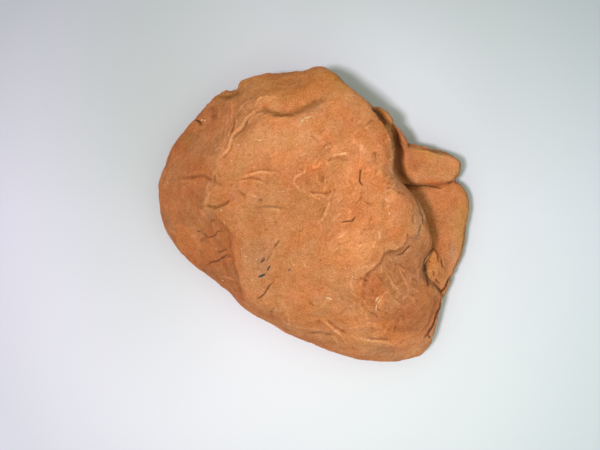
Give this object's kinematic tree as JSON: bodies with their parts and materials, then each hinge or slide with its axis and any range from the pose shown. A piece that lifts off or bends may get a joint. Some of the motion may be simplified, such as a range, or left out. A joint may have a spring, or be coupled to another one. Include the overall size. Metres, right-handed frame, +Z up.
{
  "type": "shale",
  "caption": "Hand-sized lump of soft, iron-stained orange-brown shale: a folded upper mass over a thinner bed with two lobes, a crevice and a fin; rests on a small flat spot.",
  "frame": {"origin": "under the middle of the lump's bounding box, on the surface that it rests on", "axes": "+Z up, away from the flat foot; +X along the longest side, from the thick rounded end towards the two lobes; +Y towards the end with the pointed upper corner"},
  "size_m": [0.079, 0.0746, 0.0403],
  "materials": {
    "shale": "matte"
  },
  "bodies": {
    "root": {"shale": "shale"}
  },
  "joints": []
}
